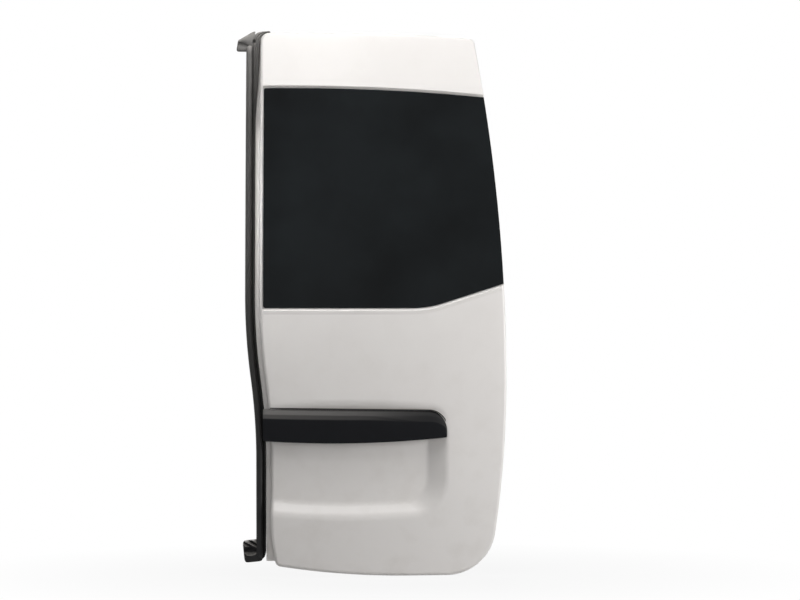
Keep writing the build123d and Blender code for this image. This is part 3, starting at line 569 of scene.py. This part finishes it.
upper_end = [
    pad(TONGUE, TONGUE_HALF, squareness=6, lean=0.16, tilt=0.0),
    lip_band(FOLD_LOW, FOLD_HIGH, front=29.0, back=57.0, foot=0.9, wave=eyelet),
    lip_band(LIP_AT_DOOR, LIP_OUTSIDE, front=21.0, back=41.5, foot=0.1, wave=ribs),
]
make_piece("seal_upper_moulding", upper_end, "rubber", ["seal_upper_end"])

# %% [markdown]
# ## Lower end
# The lower end is a stubby block of the same rubber. Slanting folds cross its upper half,
# and below them a scoop is pressed in, so the block is a rounded pad whose face is pushed in
# and out by one function.

# %% Lower end
BLOCK = (-0.552, 46.5 * MM, -0.185)
BLOCK_HALF = (21.0 * MM, 13.0 * MM, 25.5 * MM)
FOLD_PITCH = 11 * MM
FOLD_SLANT = 0.55
FOLD_HEIGHT = 4.5 * MM
FOLD_X = -0.556
FOLDS_FROM = -0.177
FOLDS_FADE = 2.5 * MM
SCOOP = (-0.557, -0.185)
SCOOP_HALF = (13 * MM, 8 * MM)
SCOOP_DEPTH = 11 * MM


def creases(x, z):
    """A slanting cosine in the upper half of the block, and below it a pit with a flat floor."""
    along = (z + FOLD_SLANT * (x - FOLD_X)) / FOLD_PITCH
    upper = 1 / (1 + np.exp(-(z - FOLDS_FROM) / FOLDS_FADE))
    reach = ((x - SCOOP[0]) / SCOOP_HALF[0]) ** 2 + ((z - SCOOP[1]) / SCOOP_HALF[1]) ** 2
    return FOLD_HEIGHT * np.cos(2 * np.pi * along) * upper + SCOOP_DEPTH * np.exp(-(reach**2))


lower_end = [pad(BLOCK, BLOCK_HALF, squareness=7, lean=-0.1, tilt=0.1, wave=creases)]
make_piece("seal_lower_moulding", lower_end, "rubber", ["seal_lower_end"])

# %% [markdown]
# ## The black moulding over the recess
# A long plastic moulding closes the top of the recess like the peak of a cap. Its lower edge
# is bowed, and its sharp crease fades out into a round right end, which a plain extrusion
# can't do. So the section has six corners whose places change along the door, and the
# corners are cut back a little on the left and, above the face, a lot on the right.

# %% Moulding
MOULDING_X = (-0.5265, -0.106)
MOULDING_ROWS = 220
CROWDING = 1.7
END_RADIUS = 42 * MM
END_FALL = 0.98
TOP_Z, TOP_DROP = 142.5 * MM, 6 * MM
FOOT_Z, FOOT_SLOPE, FOOT_BOW = 69 * MM, -29 * MM, 36 * MM
FADE_FROM, FADE_OVER = -0.30, 0.16
CREASE_SHARE, CREASE_SINKS = 0.69, 0.2
CROWN_SHARE = 0.45
# Depths behind the paint: a place with a negative one stands proud of it.
TOP_BACK_DEPTH, TOP_FRONT_DEPTH = 8 * MM, 4 * MM
CROWN_DEPTH, CROWN_ADVANCE = -5 * MM, 0.6 * MM
FACE_DEPTH, CREASE_RETREAT = -9 * MM, 0.9 * MM
FOOT_BACK_DEPTH = 13 * MM
# Shares of a side that are cut off everywhere, and in addition at the right end.
CORNER_CUT = 0.05
CUT_AFTER = np.array([0.2, 0.3, 0.4, 0.5, 0.0, 0.0])
CUT_BEFORE = np.array([0.2, 0.3, 0.4, 0.0, 0.0, 0.0])
END_ROUND = 5 * MM
LEFT_OVERRUN = 1.2 * MM
END_SHRINK = 0.12
LEAST_DRAW = 0.05


def moulding_grid():
    """Six corners at each place along the door, each cut back by shares of its two sides.

    The top falls on an arc at the right end and the foot is a parabola. The crease lies at a
    share of the height between them, and it sinks and flattens as it fades to the right.
    """
    part_way = 1 - (1 - np.linspace(0.0, 1.0, MOULDING_ROWS)) ** CROWDING
    x = MOULDING_X[0] + (MOULDING_X[1] - MOULDING_X[0]) * part_way
    into_end = np.clip((x - MOULDING_X[1] + END_RADIUS) / END_RADIUS, 0.0, 1.0)
    arc = END_RADIUS * (1 - np.sqrt(1 - END_FALL * into_end**2))
    top = TOP_Z - TOP_DROP * part_way - arc
    foot = FOOT_Z + FOOT_SLOPE * part_way + FOOT_BOW * part_way**2
    fade = np.clip((x - FADE_FROM) / FADE_OVER, 0.0, 1.0)
    fade = fade**2 * (3 - 2 * fade)
    crease = foot + (CREASE_SHARE - CREASE_SINKS * fade) * (top - foot)
    crown = crease + CROWN_SHARE * (top - crease)
    level = np.stack([top, top, crown, crease, foot, foot])
    flat = np.zeros_like(x)
    depth = np.stack(
        [
            TOP_BACK_DEPTH + flat,
            TOP_FRONT_DEPTH + flat,
            CROWN_DEPTH - CROWN_ADVANCE * fade,
            FACE_DEPTH + CREASE_RETREAT * fade,
            FACE_DEPTH + flat,
            FOOT_BACK_DEPTH + flat,
        ]
    )
    section = np.stack([level, depth], axis=-1)
    leaves = CORNER_CUT + CUT_AFTER[:, None] * fade
    meets = 1 - CORNER_CUT - CUT_BEFORE[:, None] * fade
    cut = np.stack([leaves, (leaves + meets) / 2, meets], axis=1)[..., None]
    ring = section[:, None] * (1 - cut) + np.roll(section, -1, axis=0)[:, None] * cut
    ring = soften(ring.reshape(3 * len(section), -1), 3, True)
    ring = ring.reshape(len(ring), len(x), 2).transpose(1, 0, 2)
    to_end = np.minimum(x - MOULDING_X[0] + LEFT_OVERRUN, MOULDING_X[1] - x) / END_ROUND
    drawn_in = np.sqrt(np.clip(1 - (1 - np.clip(to_end, 0.0, 1.0)) ** 2, LEAST_DRAW, 1.0))
    core = ring.mean(axis=1, keepdims=True)
    ring = core + (ring - core) * (1 - END_SHRINK * (1 - drawn_in))[:, None, None]
    across = np.repeat(x[:, None], ring.shape[1], axis=1)
    return np.stack([across, door_y(across, ring[..., 0], ring[..., 1]), ring[..., 0]], axis=-1)


make_piece("recess_moulding", [shell(moulding_grid())], "strip_plastic", ["trim_strip"])

# %% [markdown]
# ## Rolled edge under the window
# The skin is rolled outward a little where it meets the lower edge of the glass, and that
# roll catches the light from above as one bright line. It is a low ridge carried along the
# glass's own lower edge: a short steep face above, a long gentle one below. The line of the
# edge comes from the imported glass: straight lines of many slopes are pushed up from below
# until each touches the glass, and the highest of them is the edge.

# %% Window edge roll
# Profile of the ridge, in mm below the glass's edge and behind the paint.
ROLL_FALL = np.array([0.4, 1.2, 3.0, 5.2, 6.4, 8.0, 11.0, 15.0, 15.0, 8.0, 3.0, 0.6]) * MM
ROLL_DEPTH = np.array([2.8, 2.4, 0.9, -1.0, -1.5, -1.4, -0.7, 0.02, 0.5, 0.6, 2.8, 3.2]) * MM
ROLL_ROWS = 240
ROLL_INSET = (2 * MM, 5 * MM)
EDGE_SLOPES = np.linspace(-0.02, 0.5, 160)[:, None]


def roll_grid():
    """The ridge's profile, as a fall below the glass's edge and a depth, at each place across."""
    pane = nodes["window_glass"].data
    corners = np.empty(len(pane.vertices) * 3)
    pane.vertices.foreach_get("co", corners)
    pane_x, _, pane_z = corners.reshape(-1, 3).T
    touching = (pane_z - EDGE_SLOPES * pane_x).min(axis=1, keepdims=True)
    run = np.linspace(pane_x.min() + ROLL_INSET[0], pane_x.max() - ROLL_INSET[1], ROLL_ROWS)
    edge_z = (touching + EDGE_SLOPES * run).max(axis=0)
    across = np.repeat(run[:, None], len(ROLL_FALL), axis=1)
    level = edge_z[:, None] - ROLL_FALL[None]
    depth = np.repeat(ROLL_DEPTH[None], ROLL_ROWS, axis=0)
    return np.stack([across, door_y(across, level, depth), level], axis=-1)


make_piece("window_edge_roll", [shell(roll_grid())], "body_paint")

# %% [markdown]
# ## Screws on the hidden side
# The latches and the striker are held by pan-head screws with a six-lobed socket. A screw is
# a profile turned round its axis, whose rings inside the socket swell and shrink six times a
# turn. It is computed at each place, along the direction it drives.

# %% Screws
# Profile of a head from its rim to the socket's floor, in shares of its radius.
HEAD_REACH = np.array([0.02, 1.0, 1.0, 0.97, 0.88, 0.72, 0.56, 0.5, 0.48, 0.46, 0.03])
HEAD_RISE = np.array([0.0, 0.0, 0.16, 0.3, 0.44, 0.54, 0.58, 0.58, 0.52, 0.12, 0.1])
HEAD_LOBES = np.array([0, 0, 0, 0, 0, 0, 0.02, 0.1, 0.12, 0.12, 0.0])[:, None]
HEAD_TURNS = 48


def screw_head(place, along, right, radius):
    """Turned profile: a low dome up to the socket's rim, then six-lobed walls down to its floor."""
    turn = np.linspace(0.0, 2 * np.pi, HEAD_TURNS, endpoint=False)
    ring = HEAD_REACH[:, None] * radius * (1 + HEAD_LOBES * np.cos(6 * turn))
    along, right = np.asarray(along, float), np.asarray(right, float)
    up = np.cross(along, right)
    disc = (ring * np.cos(turn))[..., None] * right + (ring * np.sin(turn))[..., None] * up
    return shell(np.asarray(place) + disc + (HEAD_RISE * radius)[:, None, None] * along)


LATCH_X = -0.462
LATCH_BACK = 92 * MM
LATCH_SCREW_RADIUS = 5 * MM
LATCH_SCREWS = [(LATCH_X + side, z) for z in (0.9665, -0.1735) for side in (-26 * MM, 26 * MM)]
LATCH_SCREWS += [(LATCH_X, 0.931), (LATCH_X, -0.138)]
latch_screws = [
    screw_head((x, door_y(x, z, LATCH_BACK), z), (0, 1, 0), (1, 0, 0), LATCH_SCREW_RADIUS)
    for x, z in LATCH_SCREWS
]
make_piece("latch_screws", latch_screws, "zinc_steel")

STRIKER_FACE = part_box("striker_plate")[0][0]
STRIKER_Z = -0.035
STRIKER_STEP = 27 * MM
STRIKER_DEPTH = 58 * MM
STRIKER_SCREW_RADIUS = 4.5 * MM
STRIKER_SCREWS = [
    (STRIKER_FACE, door_y(STRIKER_FACE, z, STRIKER_DEPTH), z)
    for z in (STRIKER_Z - STRIKER_STEP, STRIKER_Z + STRIKER_STEP)
]
striker_screws = [
    screw_head(spot, (-1, 0, 0), (0, 1, 0), STRIKER_SCREW_RADIUS) for spot in STRIKER_SCREWS
]
make_piece("striker_screws", striker_screws, "zinc_steel")

# %% [markdown]
# ## Floor
# The door stands over a sheet of white paper. Paper that is lit bright enough to look white
# would also throw a lot of light up at the sill, so it is grey for the light and white for
# the camera and for reflections. The light path tells which kind of ray asks. Close under
# the door the white is held back a little, which leaves a soft contact shadow.

# %% Floor
FLOOR_DROP = 2 * MM
FLOOR_HALF = 9.0
FLOOR_LINES = 7
UNDER_DOOR = (-0.25, 0.0, 0.0)


def seen_directly(tree):
    """One for a ray from the camera, off a mirror or through glass, nought for a ray of light."""
    path = add(tree, "ShaderNodeLightPath").outputs
    seen = calc(tree, "MAXIMUM", path["Is Camera Ray"], path["Is Glossy Ray"])
    return calc(tree, "MAXIMUM", seen, path["Is Transmission Ray"])


span = np.linspace(-FLOOR_HALF, FLOOR_HALF, FLOOR_LINES)
across, along = np.meshgrid(span, span, indexing="ij")
level = np.full_like(across, cad_box[0][2] - FLOOR_DROP)
floor_points = np.stack([across, along, level], axis=-1).reshape(-1, 3)
tiles = np.arange(FLOOR_LINES - 1)
corner = (tiles[:, None] * FLOOR_LINES + tiles).ravel()
ahead = corner + FLOOR_LINES
floor_faces = np.stack([corner, ahead, ahead + 1, corner + 1], axis=1)
floor_mesh = bpy.data.meshes.new("studio_floor")
floor_mesh.from_pydata(floor_points.tolist(), [], floor_faces.tolist())
floor = bpy.data.objects.new("studio_floor", floor_mesh)
bpy.context.scene.collection.objects.link(floor)

paper, tree, place, shader = surface("white_floor_paper", Roughness=0.9, Specular_IOR_Level=0.0)
shader.inputs["Base Color"].default_value = linear("#B4B4B4")
away = add(tree, "ShaderNodeVectorMath", {0: place, 1: UNDER_DOOR}, operation="DISTANCE")
whiter = ranged(tree, away.outputs["Value"], (0.4, 1.1), (0.9, 1.0))
share = calc(tree, "MULTIPLY", seen_directly(tree), whiter)
glow = add(tree, "ShaderNodeEmission", {"Color": linear("#FFFFFF"), "Strength": 1.0})
shaders = {0: share, 1: shader.outputs["BSDF"], 2: glow.outputs["Emission"]}
lit = add(tree, "ShaderNodeMixShader", shaders)
tree.links.new(lit.outputs["Shader"], tree.nodes["Material Output"].inputs["Surface"])
floor_mesh.materials.append(paper)
print("floor at", round(float(level[0, 0]), 4))

# %% [markdown]
# ## Background
# The background is white to the camera, to reflections and through glass, as the floor is.
# The light that it sheds on the door is only a faint fill, a little stronger from above.
# The Standard view shows every colour as it was picked, with no film curve over it.

# %% Background
scene = bpy.context.scene
scene.view_settings.view_transform = "Standard"
sky = bpy.data.worlds.new("studio_sky")
scene.world = sky
sky.use_nodes = True
tree = sky.node_tree
tree.nodes.clear()
direction = add(tree, "ShaderNodeTexCoord").outputs["Generated"]
upward = add(tree, "ShaderNodeSeparateXYZ", {"Vector": direction}).outputs["Z"]
ambient = ranged(tree, upward, (-1.0, 1.0), (0.01, 0.04))
soft = add(tree, "ShaderNodeBackground", {"Color": linear("#FFFDF9"), "Strength": ambient})
plain = add(tree, "ShaderNodeBackground", {"Color": linear("#FFFFFF"), "Strength": 1.0})
shaders = {0: seen_directly(tree), 1: soft.outputs["Background"], 2: plain.outputs["Background"]}
both = add(tree, "ShaderNodeMixShader", shaders)
add(tree, "ShaderNodeOutputWorld", {"Surface": both.outputs["Shader"]})
print("background", sky.name, len(tree.nodes), "nodes")

# %% [markdown]
# ## Lamps
# A skylight and a softer lamp high in front make the top of the door bright and let the
# sill fall off, as in a hall with roof windows. A lamp on the hinge side draws the walls of
# the recess, a broad one in front fills the shade, and one behind is for the hidden side. A
# narrow strip reaches into the channel beside the seal. The fill and the strip don't show in
# reflections, or the dark glass would mirror them as rectangles.

# %% Lamps
# Each row: where it stands, where it points, its width and height in metres, its watts.
LAMPS = {
    "skylight": ((-0.3, -0.7, 2.1), (-0.3, 0.0, 0.6), 1.2, 0.5, 14.0),
    "high_front": ((-0.5, -1.2, 1.7), (-0.35, 0.0, 0.75), 0.9, 0.6, 6.0),
    "side_light": ((2.3, -0.9, 0.5), (-0.1, 0.0, 0.2), 1.0, 1.0, 40.0),
    "front_fill": ((-0.6, -4.0, 0.6), (-0.4, 0.0, 0.5), 1.5, 1.5, 17.0),
    "rear_fill": ((-0.6, 2.6, 1.6), (-0.25, 0.0, 0.4), 1.8, 1.2, 55.0),
    "edge_strip": ((-0.8, -0.5, 0.62), (-0.54, -0.05, 0.62), 0.06, 0.36, 0.17),
}
NARROW_BEAM = np.radians(60)
NOT_MIRRORED = ("front_fill", "edge_strip")
for name, (stand, aim, wide, tall, watts) in LAMPS.items():
    lamp = bpy.data.lights.new(name, "AREA")
    lamp.shape = "RECTANGLE"
    lamp.size, lamp.size_y, lamp.energy = wide, tall, watts
    lamp.spread = NARROW_BEAM if name == "edge_strip" else np.pi
    holder = bpy.data.objects.new(name, lamp)
    scene.collection.objects.link(holder)
    holder.location = stand
    towards = Vector(aim) - Vector(stand)
    holder.rotation_euler = towards.to_track_quat("-Z", "Y").to_euler()
    holder.visible_camera = False
    holder.visible_glossy = name not in NOT_MIRRORED
print("lamps", sorted(LAMPS))

# %% [markdown]
# ## Camera
# The camera stands far back with a long lens, so the outline hardly converges. The lens
# follows from the width that the picture has to take in at that distance.

# %% Camera
SENSOR_MM = 36.0
VIEW_WIDTH = 1.84
VIEW_DISTANCE = 8.0
VIEW_CENTRE = (-0.2139, -0.06, 0.391)
eye = bpy.data.cameras.new("front_camera")
eye.sensor_width = SENSOR_MM
eye.lens = SENSOR_MM * VIEW_DISTANCE / VIEW_WIDTH
viewer = bpy.data.objects.new("front_camera", eye)
viewer.location = (VIEW_CENTRE[0], VIEW_CENTRE[1] - VIEW_DISTANCE, VIEW_CENTRE[2])
viewer.rotation_euler = (np.pi / 2, 0.0, 0.0)
scene.collection.objects.link(viewer)
scene.camera = viewer
print("lens", round(eye.lens, 1), "mm")
